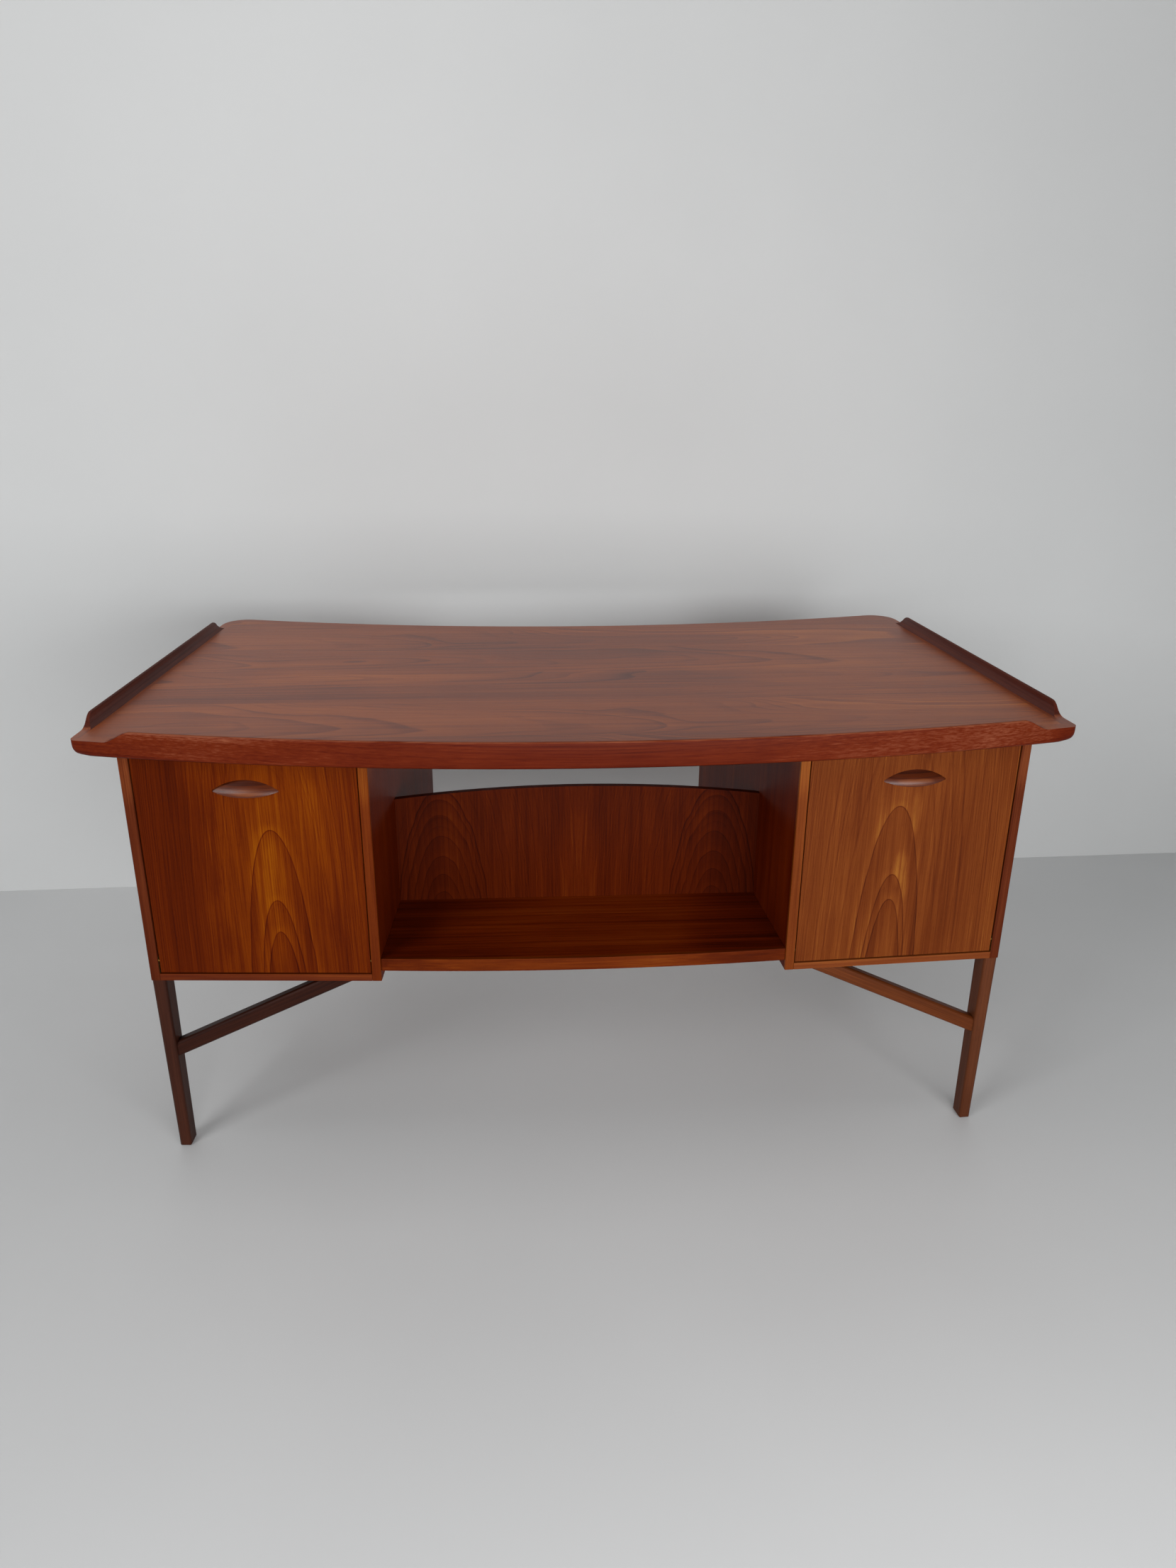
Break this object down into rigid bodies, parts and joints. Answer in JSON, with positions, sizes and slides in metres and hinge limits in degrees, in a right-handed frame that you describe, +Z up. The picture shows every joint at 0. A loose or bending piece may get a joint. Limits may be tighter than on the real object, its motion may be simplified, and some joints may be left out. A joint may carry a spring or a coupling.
{
  "type": "executive desk",
  "caption": "Teak executive desk with a boat-shaped lipped top, splayed pedestals with drop-front doors and drawers, and an open bookcase between them.",
  "frame": {"origin": "on the floor under the middle of the top's plan", "axes": "+X to the right as seen from the visitor's side, +Y from the visitor's side to the user's side, +Z up"},
  "size_m": [1.5044, 0.8857, 0.77],
  "materials": {
    "top_veneer": "satin",
    "edging_wood": "satin",
    "front_veneer": "satin",
    "case_veneer": "satin",
    "back_veneer": "satin",
    "leg_wood": "satin",
    "pull_wood": "satin",
    "inner_wood": "matt",
    "brass": "satin"
  },
  "bodies": {
    "desk": {"top_board": "top_veneer", "front_edging": "edging_wood", "rear_edging": "edging_wood", "left_side_edging": "edging_wood", "right_side_edging": "edging_wood", "bookshelf": "case_veneer", "bookshelf_cleats": "inner_wood", "bookcase_back": "back_veneer", "pivot_plates": "brass", "flap_stops": "inner_wood", "door_catches": "brass", "cabinet_cleats": "inner_wood", "left_outer_panel": "case_veneer", "right_outer_panel": "case_veneer", "left_inner_panel": "case_veneer", "right_inner_panel": "case_veneer", "left_bottom_panel": "case_veneer", "right_bottom_panel": "case_veneer", "left_partition": "case_veneer", "right_partition": "case_veneer", "left_top_rails": "inner_wood", "right_top_rails": "inner_wood", "left_drawer_runners": "inner_wood", "right_drawer_runners": "inner_wood", "left_cabinet_shelf": "case_veneer", "right_cabinet_shelf": "case_veneer", "left_front_leg": "leg_wood", "right_front_leg": "leg_wood", "left_rear_leg": "leg_wood", "right_rear_leg": "leg_wood", "left_front_brace": "leg_wood", "right_front_brace": "leg_wood", "left_rear_brace": "leg_wood", "right_rear_brace": "leg_wood"},
    "left_door_body": {"left_door": "front_veneer", "left_door_pull": "pull_wood", "left_door_pivot_pins": "brass"},
    "left_lower_drawer_body": {"left_lower_drawer_front": "front_veneer", "left_lower_drawer_box": "inner_wood", "left_lower_drawer_pull": "pull_wood"},
    "left_middle_drawer_body": {"left_middle_drawer_front": "front_veneer", "left_middle_drawer_box": "inner_wood", "left_middle_drawer_pull": "pull_wood"},
    "left_upper_drawer_body": {"left_upper_drawer_front": "front_veneer", "left_upper_drawer_box": "inner_wood", "left_upper_drawer_pull": "pull_wood"},
    "right_door_body": {"right_door": "front_veneer", "right_door_pull": "pull_wood", "right_door_pivot_pins": "brass"},
    "right_lower_drawer_body": {"right_lower_drawer_front": "front_veneer", "right_lower_drawer_box": "inner_wood", "right_lower_drawer_pull": "pull_wood"},
    "right_middle_drawer_body": {"right_middle_drawer_front": "front_veneer", "right_middle_drawer_box": "inner_wood", "right_middle_drawer_pull": "pull_wood"},
    "right_upper_drawer_body": {"right_upper_drawer_front": "front_veneer", "right_upper_drawer_box": "inner_wood", "right_upper_drawer_pull": "pull_wood"}
  },
  "joints": [
    {"name": "left_door_hinge", "type": "hinge", "parent": "desk", "child": "left_door_body", "pos_m": [-0.51449, -0.32468, 0.3645], "axis": [0.9983, -0.0576, 0], "range_deg": [0, 90]},
    {"name": "left_lower_drawer_slide", "type": "slide", "parent": "desk", "child": "left_lower_drawer_body", "axis": [0.0576, 0.9983, 0], "range_m": [0, 0.3]},
    {"name": "left_middle_drawer_slide", "type": "slide", "parent": "desk", "child": "left_middle_drawer_body", "axis": [0.0576, 0.9983, 0], "range_m": [0, 0.3]},
    {"name": "left_upper_drawer_slide", "type": "slide", "parent": "desk", "child": "left_upper_drawer_body", "axis": [0.0576, 0.9983, 0], "range_m": [0, 0.3]},
    {"name": "right_door_hinge", "type": "hinge", "parent": "desk", "child": "right_door_body", "pos_m": [0.51449, -0.32468, 0.3645], "axis": [0.9983, 0.0576, 0], "range_deg": [0, 90]},
    {"name": "right_lower_drawer_slide", "type": "slide", "parent": "desk", "child": "right_lower_drawer_body", "axis": [-0.0576, 0.9983, 0], "range_m": [0, 0.3]},
    {"name": "right_middle_drawer_slide", "type": "slide", "parent": "desk", "child": "right_middle_drawer_body", "axis": [-0.0576, 0.9983, 0], "range_m": [0, 0.3]},
    {"name": "right_upper_drawer_slide", "type": "slide", "parent": "desk", "child": "right_upper_drawer_body", "axis": [-0.0576, 0.9983, 0], "range_m": [0, 0.3]}
  ]
}
